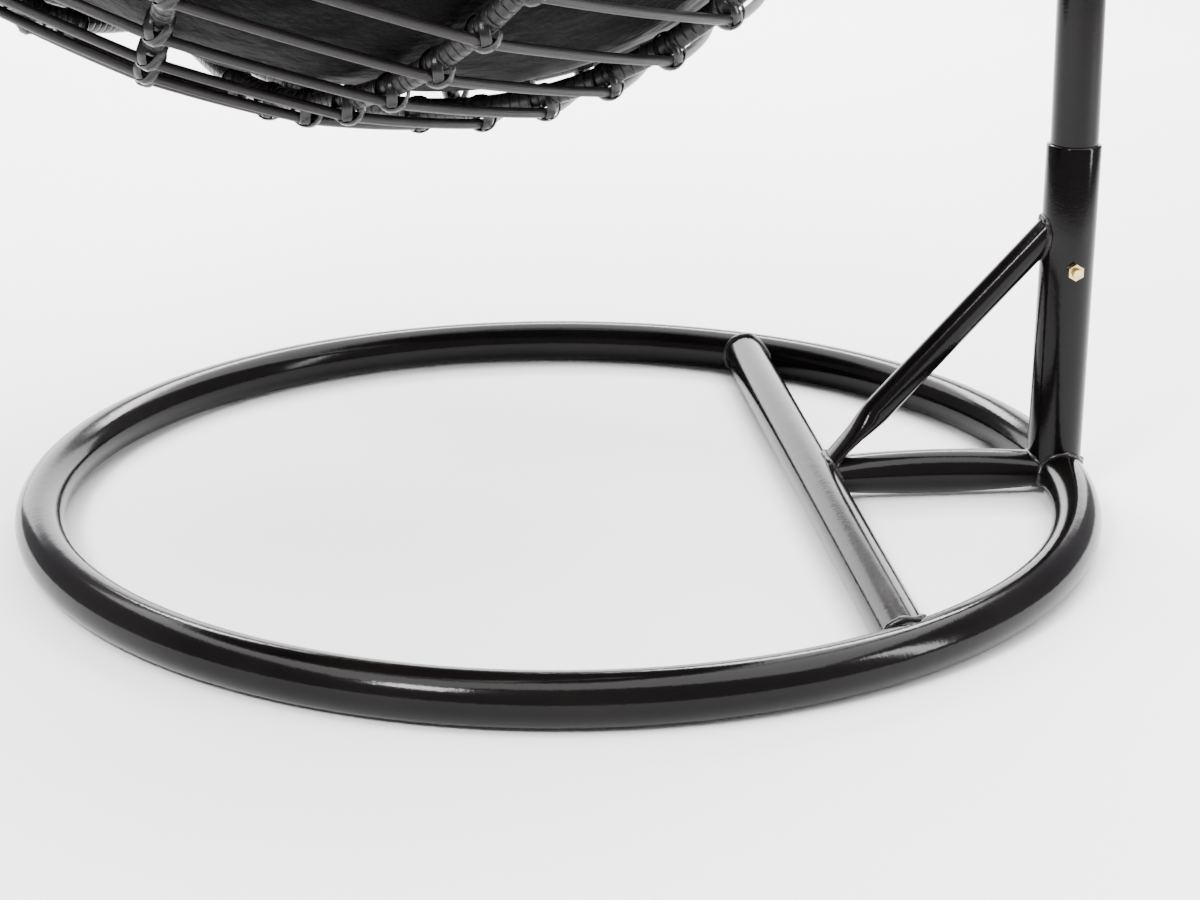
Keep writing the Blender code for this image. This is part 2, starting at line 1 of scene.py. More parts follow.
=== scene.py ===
"""Looks of the hanging egg chair: smooth tubes, welds, lashed cane, stuffed cushions and the studio.

Metres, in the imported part's frame: +Z up, +X from the base ring's middle towards the post.
"""
import json
import math
from math import cos, pi, radians, sin

import bmesh
import bpy
from mathutils import Matrix, Quaternion, Vector, noise


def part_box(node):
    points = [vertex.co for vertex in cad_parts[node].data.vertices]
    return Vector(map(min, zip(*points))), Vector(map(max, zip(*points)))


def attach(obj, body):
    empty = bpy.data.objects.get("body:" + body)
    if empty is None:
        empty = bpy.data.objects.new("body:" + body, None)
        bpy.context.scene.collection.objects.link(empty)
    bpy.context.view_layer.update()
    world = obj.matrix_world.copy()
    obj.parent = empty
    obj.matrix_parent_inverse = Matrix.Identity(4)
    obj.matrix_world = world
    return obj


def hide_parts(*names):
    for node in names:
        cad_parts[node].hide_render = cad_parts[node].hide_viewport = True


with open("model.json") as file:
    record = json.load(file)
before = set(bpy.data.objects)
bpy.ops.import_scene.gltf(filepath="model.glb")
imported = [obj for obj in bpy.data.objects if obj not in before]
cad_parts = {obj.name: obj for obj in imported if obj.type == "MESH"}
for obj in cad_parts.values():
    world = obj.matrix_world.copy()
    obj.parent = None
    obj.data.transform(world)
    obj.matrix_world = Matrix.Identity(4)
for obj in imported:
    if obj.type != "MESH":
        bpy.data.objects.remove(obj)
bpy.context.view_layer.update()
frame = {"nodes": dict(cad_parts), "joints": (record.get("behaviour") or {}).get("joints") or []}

# ---- dimensions shared with the CAD --------------------------------------------------------
JOINTS = {joint["name"]: joint for joint in frame["joints"]}
HOOK = Vector(JOINTS["swing_side"]["pos_m"])
SWIVEL = Vector(JOINTS["swivel"]["pos_m"])
RING_LOW, RING_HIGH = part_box("base_ring")
RING_MIDDLE = Vector(((RING_LOW.x + RING_HIGH.x) / 2, (RING_LOW.y + RING_HIGH.y) / 2, 0.0))
STAND = Matrix.Translation(RING_MIDDLE)

RING_R, TUBE_R = 0.454, 0.021
CROSSBAR_X, POST_X = 0.229, 0.4515
STRUT_R, BRACE_R = 0.019, 0.0125
BRACE_LOW, BRACE_HIGH = Vector((0.243, 0.0, 0.0345)), Vector((0.440, 0.0, 0.2517))
SLEEVE_R, SLEEVE_LOW, SLEEVE_TOP = 0.024, 0.024, 0.322
POST_LEAN, LEAN_FROM_Z = 0.0187, 0.330
POST_TOP, ARCH_START_Z, ARCH_R, ARCH_END = 1.020, 1.600, 0.330, radians(45)
EYE_R, EYE_WIRE, LINK_WIRE, BOW_WIRE = 0.016, 0.004, 0.003, 0.004
LINK_BEND, LINK_DROP, SNAP_DROP = 0.0073, 0.031, 0.030
SWIVEL_EYE_R, SWIVEL_EYE_DROP = 0.0110, 0.0165

BASKET_TILT, BASKET_YAW = radians(21.8), radians(-16.0)
POLE_REACH, POLE_Z = 0.2515, 0.4175
SHELL_ARC, SHELL_INSET = 0.444, 0.0795
TOP_H, TOP_SHIFT, TOP_RING_R, BOTTOM_RING_R = 1.098, -0.170, 0.050, 0.045
HOOP_WIRE, RIB_WIRE, RIM_WIRE, RING_WIRE = 0.0042, 0.0090, 0.0110, 0.0060
RIB_COUNT, LOWER_HOOPS, UPPER_HOOPS = 12, 11, 10
HOOP_STEP, FIRST_HOOP = radians(7.6), radians(7.8)
OPENING_LOW, OPENING_TOP = (-0.400, 0.130), (-0.262, 1.080)
RIB_DEPTH = HOOP_WIRE + RIB_WIRE + 0.0004
LEAN_ROOM = 0.45
WIDEST_H, WIDEST_R = SHELL_ARC, SHELL_ARC + SHELL_INSET
RIB_STEP = 2 * pi / RIB_COUNT

POLE = Vector((HOOK.x - POLE_REACH * cos(BASKET_YAW), HOOK.y - POLE_REACH * sin(BASKET_YAW), POLE_Z))
BASKET = (Matrix.Translation(POLE) @ Matrix.Rotation(BASKET_YAW, 4, "Z")
          @ Matrix.Rotation(BASKET_TILT, 4, "Y"))

# ---- visual only ---------------------------------------------------------------------------
KINK = 0.60                   # share by which a hoop runs straight between two ribs
WRAP_PITCH = 0.0085           # flat strip wound round ribs and rim
STRIP_WIDTH, STRIP_THICK = 0.0082, 0.0010
FRONT_TAPER = 0.12            # a lashing is narrower over the thin hoop than behind the rib
BEAD_R = 0.0034
STRIP_SQUARE = 2.2            # how square a turn of strip is; 2 would be an ellipse
LASH_LEAN, LASH_HALF = radians(52), 0.0132
PUFF_CAP = 0.024              # the most that stuffing moves the cloth
PUFF_FRAMES, PUFF_PRESSURE = 20, 3.0
CLOTH_SIZE, QUICK_SIZE = 0.009, 0.016
SEAT_SEAM_R, BACK_SEAM = 0.235, radians(24)
SEAM_HALF = 0.006


# ---- materials -----------------------------------------------------------------------------
class Shading:
    """A Principled material whose colour, roughness and relief come from noise."""

    def __init__(self, name, roughness, metallic=0.0, coordinates="Object"):
        self.material = bpy.data.materials.new(name)
        self.material.use_nodes = True
        self.tree = self.material.node_tree
        self.shader = self.tree.nodes["Principled BSDF"]
        self.shader.inputs["Metallic"].default_value = metallic
        self.place = self.node("ShaderNodeTexCoord").outputs[coordinates]
        self.rough(roughness)

    def node(self, kind, **values):
        made = self.tree.nodes.new(kind)
        for name, value in values.items():
            setattr(made, name, value)
        return made

    def link(self, source, target):
        self.tree.links.new(source, target)
        return target

    def math(self, operation, first, second=None):
        made = self.node("ShaderNodeMath", operation=operation)
        for slot, value in zip(made.inputs, (first, second)):
            if isinstance(value, (int, float)):
                slot.default_value = value
            elif value is not None:
                self.link(value, slot)
        return made.outputs[0]

    def noise(self, scale, detail=3.0, stretch=(1.0, 1.0, 1.0)):
        mapping = self.node("ShaderNodeMapping")
        mapping.inputs["Scale"].default_value = stretch
        self.link(self.place, mapping.inputs["Vector"])
        made = self.node("ShaderNodeTexNoise")
        made.inputs["Scale"].default_value = scale
        made.inputs["Detail"].default_value = detail
        self.link(mapping.outputs["Vector"], made.inputs["Vector"])
        return made.outputs["Fac"]

    def ramp(self, source, low, high, start=0.35, end=0.65):
        made = self.node("ShaderNodeValToRGB")
        first, last = made.color_ramp.elements
        first.position, last.position = start, end
        first.color, last.color = (*low, 1.0), (*high, 1.0)
        self.link(source, made.inputs["Fac"])
        return made.outputs["Color"]

    def colour(self, source, low, high, start=0.35, end=0.65):
        self.link(self.ramp(source, low, high, start, end), self.shader.inputs["Base Color"])

    def rough(self, span):
        made = self.node("ShaderNodeMapRange")
        made.inputs["To Min"].default_value, made.inputs["To Max"].default_value = span
        self.link(self.noise(14.0), made.inputs["Value"])
        self.link(made.outputs["Result"], self.shader.inputs["Roughness"])

    def relief(self, layers):
        """Bump layers, each (height, depth in metres)."""
        normal = None
        for height, depth in layers:
            made = self.node("ShaderNodeBump")
            made.inputs["Distance"].default_value = depth
            self.link(height, made.inputs["Height"])
            if normal is not None:
                self.link(normal, made.inputs["Normal"])
            normal = made.outputs["Normal"]
        self.link(normal, self.shader.inputs["Normal"])


def powder_coat():
    look = Shading("powder_coat_black", (0.10, 0.17))
    look.colour(look.noise(9.0), (0.0020, 0.0016, 0.0016), (0.0042, 0.0034, 0.0033))
    look.relief([(look.noise(420.0, 1.0), 0.00006), (look.noise(60.0, 2.0), 0.00010)])
    look.shader.inputs["Specular IOR Level"].default_value = 0.14
    return look.material


def weld_coat():
    look = Shading("weld_coat_black", (0.22, 0.38))
    look.colour(look.noise(60.0), (0.003, 0.003, 0.003), (0.008, 0.007, 0.006))
    look.relief([(look.noise(330.0, 2.0), 0.0007)])
    look.shader.inputs["Specular IOR Level"].default_value = 0.30
    return look.material


def metal(name, low, high, roughness, scale):
    look = Shading(name, roughness, 1.0)
    look.colour(look.noise(scale), low, high)
    look.relief([(look.noise(900.0, 1.0), 0.00003)])
    return look.material


def plastic_cap():
    look = Shading("cap_black", (0.40, 0.55))
    look.colour(look.noise(50.0), (0.014, 0.014, 0.014), (0.024, 0.023, 0.023))
    look.relief([(look.noise(700.0, 1.0), 0.00005)])
    return look.material


def cane():
    """Extruded plastic rod with fine ridges along it."""
    look = Shading("cane_rod", (0.30, 0.42), coordinates="UV")
    grain = look.noise(1.0, 2.0, (9.0, 1500.0, 1.0))
    look.colour(grain, (0.0050, 0.0043, 0.0042), (0.0180, 0.0160, 0.0156), 0.30, 0.70)
    look.relief([(grain, 0.0004)])
    look.shader.inputs["Specular IOR Level"].default_value = 0.28
    return look.material


def wrapped():
    """Flat strip wound round a rod: turns side by side, with a groove between them, darkened in colour
    towards each groove as painted shade.
    """
    look = Shading("cane_wrap", (0.24, 0.36), coordinates="UV")
    parts = look.node("ShaderNodeSeparateXYZ")
    look.link(look.place, parts.inputs[0])
    turn = look.math("ADD", look.math("MULTIPLY", parts.outputs[0], 1 / WRAP_PITCH),
                     look.math("MULTIPLY", parts.outputs[1], 1 / (2 * pi * RIB_WIRE)))
    across = look.math("ABSOLUTE", look.math("SUBTRACT", look.math("FRACT", turn), 0.5))
    turn_relief_and_groove_shade = look.math("SUBTRACT", 1.0, look.math("POWER", look.math("MULTIPLY", across, 2.0), 6.0))
    # painted shade: the base colour darkens towards the groove between turns, where shade falls; the
    # same mask drives the bump
    look.colour(turn_relief_and_groove_shade, (0.0015, 0.0015, 0.0015), (0.0125, 0.0112, 0.0115), 0.10, 0.80)
    look.relief([(turn_relief_and_groove_shade, 0.0010), (look.noise(1.0, 2.0, (1400.0, 90.0, 1.0)), 0.0002)])
    look.shader.inputs["Specular IOR Level"].default_value = 0.25
    return look.material


def strip():
    """The glossier flat strip of the lashings."""
    look = Shading("cane_strip", (0.20, 0.32), coordinates="UV")
    grain = look.noise(1.0, 2.0, (60.0, 1500.0, 1.0))
    look.colour(grain, (0.0045, 0.0042, 0.0043), (0.0140, 0.0128, 0.0132), 0.30, 0.70)
    look.relief([(grain, 0.0003)])
    look.shader.inputs["Specular IOR Level"].default_value = 0.32
    return look.material


def cloth():
    look = Shading("cushion_cloth", (0.46, 0.62))
    look.colour(look.noise(26.0), (0.0006, 0.0006, 0.0008), (0.0016, 0.0016, 0.0019))
    look.relief([(look.noise(11.0, 5.0, (1.0, 1.0, 0.40)), 0.0220), (look.noise(900.0, 1.0), 0.0002)])
    look.shader.inputs["Specular IOR Level"].default_value = 0.03
    return look.material


def floor_paint():
    look = Shading("floor_paint", (0.75, 0.85))
    look.colour(look.noise(2.0), (0.900, 0.900, 0.900), (0.915, 0.915, 0.915))
    return look.material


# ---- meshes --------------------------------------------------------------------------------
def path_frames(points, closed):
    """Tangent and side direction at each point of a line, turning as little as possible."""
    last = len(points) - 1
    ways = []
    for index in range(len(points)):
        before = points[index - 1] if closed or index else points[index]
        after = points[(index + 1) % len(points)] if closed or index < last else points[index]
        ways.append((after - before).normalized())
    side = ways[0].orthogonal().normalized()
    sides = []
    for way in ways:
        side = (side - way * side.dot(way)).normalized()
        sides.append(side)
    if not closed:
        return list(zip(ways, sides))
    end = (side - ways[0] * side.dot(ways[0])).normalized()
    twist = math.atan2(end.cross(sides[0]).dot(ways[0]), end.dot(sides[0]))
    turned = [Quaternion(way, twist * index / len(points)) @ side
              for index, (way, side) in enumerate(zip(ways, sides))]
    return list(zip(ways, turned))


def sweep(shape, points, radius, sides=12, closed=False):
    """Add a round rod along the points, with a UV map in metres along it and round it."""
    uv = shape.loops.layers.uv.verify()
    points = [Vector(point) for point in points]
    radii = radius if isinstance(radius, list) else [radius] * len(points)
    rings = []
    for point, size, (way, side) in zip(points, radii, path_frames(points, closed)):
        other = way.cross(side)
        turn = [2 * pi * step / sides for step in range(sides)]
        rings.append([shape.verts.new(point + size * (cos(a) * side + sin(a) * other)) for a in turn])
    run = 0.0
    for index in range(len(points) if closed else len(points) - 1):
        after = (index + 1) % len(points)
        ahead = run + (points[after] - points[index]).length
        for step in range(sides):
            beside = (step + 1) % sides
            face = shape.faces.new((rings[index][step], rings[index][beside],
                                    rings[after][beside], rings[after][step]))
            face.smooth = True
            girth = 2 * pi * radii[index] / sides
            places = ((run, step), (run, step + 1), (ahead, step + 1), (ahead, step))
            for loop, (along, round_it) in zip(face.loops, places):
                loop[uv].uv = (along, round_it * girth)
        run = ahead
    if not closed:
        shape.faces.new(rings[0][::-1])
        shape.faces.new(rings[-1])


def loft(shape, sections, sides=32):
    """Skin ellipses: centre, direction in the XZ plane, half width, half height."""
    shape.loops.layers.uv.verify()
    rings = []
    for centre, (dx, dz), half_width, half_height in sections:
        ring = []
        for step in range(sides):
            angle = 2 * pi * step / sides
            lift = half_height * sin(angle)
            offset = Vector((-dz * lift, half_width * cos(angle), dx * lift))
            ring.append(shape.verts.new(centre + offset))
        rings.append(ring)
    for lower, upper in zip(rings, rings[1:]):
        for step in range(sides):
            after = (step + 1) % sides
            shape.faces.new((lower[step], lower[after], upper[after], upper[step])).smooth = True
    shape.faces.new(rings[0][::-1])
    shape.faces.new(rings[-1])


def band(shape, centre, way, out, half_length, low, high, steps=22):
    """A closed turn of flat strip, in the plane of way and out, round the rods at centre."""
    uv = shape.loops.layers.uv.verify()
    wide = out.cross(way).normalized() * (STRIP_WIDTH / 2)
    middle, reach = (high + low) / 2, (high - low) / 2
    rows = []
    for step in range(steps):
        c, s = cos(2 * pi * step / steps), sin(2 * pi * step / steps)
        square = (abs(c) ** STRIP_SQUARE + abs(s) ** STRIP_SQUARE) ** (-1 / STRIP_SQUARE)
        narrow = 1.0 - FRONT_TAPER * (1.0 + s) / 2
        point = centre + way * (half_length * narrow * c * square) + out * (middle + reach * s * square)
        away = (way * (c / half_length) + out * (s / reach)).normalized() * STRIP_THICK
        rows.append([shape.verts.new(p) for p in (point - wide, point - wide * 0.7 + away,
                                                  point + wide * 0.7 + away, point + wide)])
    for step in range(steps):
        here, after = rows[step], rows[(step + 1) % steps]
        for k in range(4):
            n = (k + 1) % 4
            face = shape.faces.new((here[k], here[n], after[n], after[k]))
            face.smooth = k < 3
            places = ((step, k), (step, k + 1), (step + 1, k + 1), (step + 1, k))
            for loop, (u, v) in zip(face.loops, places):
                loop[uv].uv = (u * 0.004, v * STRIP_WIDTH / 4)


def add(name, shape, place, body, look, slot, nodes=()):
    """Make an object of a bmesh, put it in the part's frame and let it ride on a body."""
    shape.transform(place)
    bmesh.ops.recalc_face_normals(shape, faces=shape.faces)
    mesh = bpy.data.meshes.new(name)
    shape.to_mesh(mesh)
    shape.free()
    mesh.set_sharp_from_angle(angle=radians(40))
    mesh.materials.append(look)
    made = bpy.data.objects.new(name, mesh)
    bpy.context.scene.collection.objects.link(made)
    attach(made, body)
    if nodes:
        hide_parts(*nodes)
    return made


def rod_piece(name, points, radius, place, body, look, slot, nodes=(), sides=16, closed=False):
    shape = bmesh.new()
    sweep(shape, points, radius, sides, closed)
    return add(name, shape, place, body, look, slot, nodes)


def circle(radius, count, height=0.0, x=0.0):
    turn = [2 * pi * step / count for step in range(count)]
    return [Vector((x + radius * cos(a), radius * sin(a), height)) for a in turn]


# ---- the stand -----------------------------------------------------------------------------
def post_x(z):
    return POST_X - POST_LEAN * max(0.0, z - LEAN_FROM_Z)


def arch_points():
    centre = Vector((post_x(ARCH_START_Z) - ARCH_R, 0.0, ARCH_START_Z))
    points = [Vector((post_x(z), 0.0, z)) for z in (POST_TOP + 0.0004, 1.2, 1.4)]
    steps = 48
    for step in range(steps + 1):
        angle = (pi / 2 + ARCH_END) * step / steps
        points.append(centre + ARCH_R * Vector((cos(angle), 0.0, sin(angle))))
    return points


def strut_half(share):
    belly = sin(pi * share) ** 0.6 if 0 < share < 1 else 0.0
    return 0.0235 + (STRUT_R - 0.0235) * belly, 0.0130 + (STRUT_R - 0.0120) * belly


def strut_shape():
    low, high = CROSSBAR_X + 0.004, POST_X - 0.004
    shape = bmesh.new()
    steps = 28
    rows = []
    for step in range(steps + 1):
        share = step / steps
        wide, tall = strut_half(share)
        rows.append((Vector((low + (high - low) * share, 0.0, TUBE_R + 0.001)), (1, 0), wide, tall))
    loft(shape, rows)
    return shape


def brace_shape():
    """A round tube with its foot pressed flat, and a crease where the flat ends."""
    way = (BRACE_HIGH - BRACE_LOW).normalized()
    length = (BRACE_HIGH - BRACE_LOW).length
    flat = ((0.0, 0.0168, 0.0050), (0.012, 0.0168, 0.0056), (0.026, 0.0165, 0.0066),
            (0.036, 0.0162, 0.0078), (0.046, 0.0152, 0.0100), (0.053, 0.0138, 0.0113),
            (0.058, BRACE_R, 0.0122), (0.064, BRACE_R, BRACE_R), (length, BRACE_R, BRACE_R))
    shape = bmesh.new()
    loft(shape, [(BRACE_LOW + way * t, (way.x, way.z), wide, tall) for t, wide, tall in flat])
    return shape


def ring_gap(p):
    return math.hypot(math.hypot(p.x, p.y) - RING_R, p.z - TUBE_R) - TUBE_R


def crossbar_gap(p):
    return math.hypot(p.x - CROSSBAR_X, p.z - TUBE_R) - TUBE_R


def sleeve_gap(p):
    return math.hypot(p.x - POST_X, p.y) - SLEEVE_R


def strut_gap(p):
    share = min(1.0, max(0.0, (p.x - CROSSBAR_X) / (POST_X - CROSSBAR_X)))
    wide, tall = strut_half(share)
    return (math.hypot(p.y / wide, (p.z - TUBE_R - 0.001) / tall) - 1.0) * tall


def weld_line(start, way, across, up, half_width, half_height, gaps, reach, count=40):
    """Where a tube that runs from start along way first meets another surface."""
    points = []
    for step in range(count):
        angle = 2 * pi * step / count
        foot = start + across * (half_width * cos(angle)) + up * (half_height * sin(angle))
        travel = 0.0
        while travel < reach and min(gap(foot + way * travel) for gap in gaps) > 0.0:
            travel += 0.0005
        point = foot + way * travel
        points.append(Vector((point.x, point.y, max(point.z, BEAD_R * 1.2))))
    return points


def add_bead(shape, points):
    radii = [BEAD_R * (0.86 + 0.45 * noise.noise(point * 260.0)) for point in points]
    sweep(shape, points, radii, 10, True)


def make_welds(look):
    x_way, y_way, z_way = Vector((1, 0, 0)), Vector((0, 1, 0)), Vector((0, 0, 1))
    shape = bmesh.new()
    for side in (-1, 1):
        start = Vector((CROSSBAR_X, side * 0.30, TUBE_R))
        add_bead(shape, weld_line(start, y_way * side, x_way, z_way, TUBE_R, TUBE_R, [ring_gap], 0.081))
    foot = Vector((POST_X, 0.0, 0.10))
    add_bead(shape, weld_line(foot, -z_way, x_way, y_way, SLEEVE_R, SLEEVE_R, [ring_gap], 0.070))
    middle = Vector(((CROSSBAR_X + POST_X) / 2, 0.0, TUBE_R + 0.001))
    for side, gaps in ((-1, [crossbar_gap]), (1, [ring_gap, sleeve_gap])):
        line = weld_line(middle, x_way * side, y_way, z_way, 0.0228, 0.0135, gaps, 0.12)
        add_bead(shape, line)
    way = (BRACE_HIGH - BRACE_LOW).normalized()
    over = Vector((-way.z, 0.0, way.x))
    high = BRACE_LOW + way * 0.15
    add_bead(shape, weld_line(high, way, y_way, over, BRACE_R, BRACE_R, [sleeve_gap], 0.16))
    low = BRACE_LOW + way * 0.040
    line = weld_line(low, -way, y_way, over, 0.0165, 0.0056, [crossbar_gap, strut_gap], 0.045)
    add_bead(shape, line)
    add("weld_beads", shape, STAND, "stand", look, "frame_black")


def make_stand(coat, weld):
    stand = ("stand", coat, "frame_black")
    rod_piece("ring_tube", circle(RING_R, 160, TUBE_R), TUBE_R, STAND, *stand, ["base_ring"], 32, True)
    bar = [Vector((CROSSBAR_X, side * 0.392, TUBE_R)) for side in (-1.0, 0.0, 1.0)]
    rod_piece("crossbar_tube", bar, TUBE_R, STAND, *stand, ["base_crossbar"], 40)
    add("strut_tube", strut_shape(), STAND, *stand, ["base_strut"])
    add("brace_tube", brace_shape(), STAND, *stand, ["base_brace"])
    lip = [(SLEEVE_LOW, SLEEVE_R), (0.20, SLEEVE_R), (SLEEVE_TOP - 0.0016, SLEEVE_R),
           (SLEEVE_TOP - 0.0006, SLEEVE_R - 0.0004), (SLEEVE_TOP, SLEEVE_R - 0.0012)]
    rod_piece("sleeve_tube", [Vector((POST_X, 0.0, z)) for z, _ in lip], [r for _, r in lip], STAND,
              *stand, ["lower_post"], 40)
    rows = [0.28, LEAN_FROM_Z, 0.6, POST_TOP - 0.0012, POST_TOP - 0.0003]
    sizes = [TUBE_R, TUBE_R, TUBE_R, TUBE_R, TUBE_R - 0.0008]
    rod_piece("lower_tube", [Vector((post_x(z), 0.0, z)) for z in rows], sizes, STAND,
              *stand, ["post_tube"], 40)
    rod_piece("crook_tube", arch_points(), TUBE_R, STAND, *stand, ["arch_tube", "arch_spigot"], 32)
    rest = Matrix.Translation(HOOK + Vector((0.0, 0.0, EYE_R)))
    eye = [Vector((p.x, 0.0, p.y)) for p in circle(EYE_R, 40)]
    rod_piece("hook_eye", eye, EYE_WIRE, rest, *stand, ["arch_eye"], 14, True)
    make_welds(weld)


# ---- the hanger ----------------------------------------------------------------------------
def link_points(bend, drop, steps=16):
    top = [Vector((0.0, bend * cos(pi * s / steps), bend * sin(pi * s / steps)))
           for s in range(steps + 1)]
    return top + [Vector((0.0, -p.y, -p.z - drop)) for p in top]


def bow_points():
    """Over the top ring; its feet stop a little above the ring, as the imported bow's do."""
    apex = SWIVEL.z - SWIVEL_EYE_DROP - SWIVEL_EYE_R - SNAP_DROP - POLE_Z
    x = POLE_REACH * cos(BASKET_TILT) - apex * sin(BASKET_TILT)
    h = POLE_REACH * sin(BASKET_TILT) + apex * cos(BASKET_TILT)
    foot_h = TOP_H + RING_WIRE + BOW_WIRE + 0.0006
    points = []
    for step in range(25):
        angle = pi * step / 24
        rise = max(0.0, sin(angle)) ** 0.8
        points.append(Vector((TOP_SHIFT + (x - TOP_SHIFT) * rise, TOP_RING_R * cos(angle),
                              foot_h + (h - foot_h) * rise)))
    return points


def make_hanger(bright, coat):
    upper = Matrix.Translation(HOOK)
    rod_piece("upper_ring_link", link_points(LINK_BEND, LINK_DROP), LINK_WIRE, upper, "upper_link",
              bright, "hanger_steel", ["upper_link"], 12, True)
    seat = SWIVEL + Vector((0.0, 0.0, -SWIVEL_EYE_DROP - SWIVEL_EYE_R))
    place = Matrix.Translation(seat) @ Matrix.Rotation(BASKET_YAW + pi / 2, 4, "Z")
    rod_piece("lower_ring_link", link_points(LINK_BEND, SNAP_DROP), LINK_WIRE, place, "basket",
              bright, "hanger_steel", ["snap_link"], 12, True)
    rod_piece("carrying_bow", bow_points(), BOW_WIRE, BASKET, "basket", coat, "frame_black",
              ["hanger_bow"], 14)


# ---- the egg -------------------------------------------------------------------------------
def upper_share(h):
    return min(1.0, max(0.0, (h - WIDEST_H) / (TOP_H - WIDEST_H)))


def shell_radius(h):
    if h <= WIDEST_H:
        return SHELL_INSET + math.sqrt(max(0.0, SHELL_ARC ** 2 - (SHELL_ARC - h) ** 2))
    fall = math.sqrt(max(0.0, 1.0 - upper_share(h) ** 2.2))
    return TOP_RING_R + (WIDEST_R - TOP_RING_R) * fall


def shell_shift(h):
    share = min(1.0, max(0.0, (h - 0.25) / (TOP_H - 0.25)))
    return TOP_SHIFT * share ** 1.6


def meridian(depth=0.0, steps=240):
    """(radius, height) points up the egg, set in from the hoops' surface by depth."""
    rows = []
    for step in range(steps + 1):
        angle = pi / 2 * step / steps
        rows.append((SHELL_INSET + SHELL_ARC * sin(angle), SHELL_ARC * (1 - cos(angle))))
    for step in range(1, steps + 1):
        h = WIDEST_H + (TOP_H - WIDEST_H) * sin(pi / 2 * step / steps)
        rows.append((shell_radius(h), h))
    if depth == 0.0:
        return rows
    inner = []
    for before, here, after in zip(rows, rows[1:], rows[2:]):
        way = Vector(after) - Vector(before)
        inward = Vector((-way.y, way.x)).normalized() * depth * (1 + LEAN_ROOM * upper_share(here[1]))
        inner.append((here[0] + inward.x, here[1] + inward.y))
    return inner


def resample(rows, count):
    lengths = [0.0]
    for a, b in zip(rows, rows[1:]):
        lengths.append(lengths[-1] + math.dist(a, b))
    picked = []
    index = 0
    for step in range(count):
        target = lengths[-1] * step / (count - 1)
        while index < len(rows) - 2 and lengths[index + 1] < target:
            index += 1
        span = lengths[index + 1] - lengths[index]
        share = (target - lengths[index]) / span if span else 0.0
        a, b = rows[index], rows[index + 1]
        picked.append((a[0] + (b[0] - a[0]) * share, a[1] + (b[1] - a[1]) * share))
    return picked


def opening_x(h):
    (x0, h0), (x1, h1) = OPENING_LOW, OPENING_TOP
    return x0 + (x1 - x0) * (h - h0) / (h1 - h0)


def hoop_rows():
    angles = [FIRST_HOOP + HOOP_STEP * step for step in range(LOWER_HOOPS)]
    rows = [(SHELL_INSET + SHELL_ARC * sin(a), SHELL_ARC * (1 - cos(a))) for a in angles]
    above = [row for row in meridian() if row[1] > rows[-1][1]]
    return rows + resample(above, UPPER_HOOPS + 2)[1:-1]


def hoop_limit(radius, h):
    """Half angle of a hoop that stops at the opening, or None for a whole hoop."""
    reach = (opening_x(h) + RIM_WIRE + HOOP_WIRE + 0.004 - shell_shift(h)) / radius
    if reach <= -1.0 or h < OPENING_LOW[1] - 0.02:
        return None
    return math.acos(min(1.0, reach))


def hoop_point(radius, h, angle):
    """A point of a hoop, which runs nearly straight from one rib to the next."""
    off = (angle / RIB_STEP - 0.5) % 1.0
    off = min(off, 1.0 - off) * RIB_STEP
    chord = cos(RIB_STEP / 2) / cos(RIB_STEP / 2 - off)
    size = radius * (1.0 - KINK * (1.0 - chord))
    return Vector((shell_shift(h) + size * cos(angle), size * sin(angle), h))


def make_hoops(look):
    shape = bmesh.new()
    for radius, h in hoop_rows():
        limit = hoop_limit(radius, h)
        if limit is None:
            whole = [hoop_point(radius, h, 2 * pi * s / 144) for s in range(144)]
            sweep(shape, whole, HOOP_WIRE, 10, True)
            continue
        count = max(8, int(limit * 46))
        angles = [limit * (2 * s / count - 1) for s in range(count + 1)]
        sweep(shape, [hoop_point(radius, h, a) for a in angles], HOOP_WIRE, 10)
    names = [f"hoop_{number:02d}" for number in range(1, LOWER_HOOPS + UPPER_HOOPS + 1)]
    add("cane_hoops", shape, BASKET, "basket", look, "cane_black", names)


def on_rib(radius, h, angle):
    """Whether a rib at this angle reaches this height behind the opening."""
    x = shell_shift(h) + radius * cos(angle)
    return not (x < opening_x(h) + RIM_WIRE + RIB_WIRE + 0.006 and h > OPENING_LOW[1] - 0.06)


def make_ribs(look):
    inner = meridian(RIB_DEPTH)
    rows = [row for row in inner if row[1] < TOP_H - 0.030 and row[0] > 0.0]
    rows = resample([(BOTTOM_RING_R + 2 * RIB_WIRE, inner[0][1])] + rows, 90)
    shape = bmesh.new()
    for number in range(RIB_COUNT):
        angle = RIB_STEP * (number + 0.5)
        points = []
        for radius, h in rows:
            if not on_rib(radius, h, angle):
                break
            points.append(Vector((shell_shift(h) + radius * cos(angle), radius * sin(angle), h)))
        sweep(shape, points, RIB_WIRE, 14)
    add("wrapped_ribs", shape, BASKET, "basket", look, "cane_wrap",
        [f"rib_{number:02d}" for number in range(1, RIB_COUNT + 1)])


def inside_shell(point):
    if not 0.0 < point.z < TOP_H:
        return False
    return math.hypot(point.x - shell_shift(point.z), point.y) < shell_radius(point.z) - RIB_DEPTH


def rim_points(count=120):
    (x0, h0), (x1, h1) = OPENING_LOW, OPENING_TOP
    way = Vector((x1 - x0, 0.0, h1 - h0)).normalized()
    middle = Vector((opening_x(0.60), 0.0, 0.60))
    points = []
    for step in range(count):
        angle = 2 * pi * step / count
        out = way * cos(angle) + Vector((0.0, sin(angle), 0.0))
        near, far = 0.0, 1.0
        for _ in range(30):
            half = (near + far) / 2
            near, far = (half, far) if inside_shell(middle + out * half) else (near, half)
        points.append(middle + out * near)
    return points


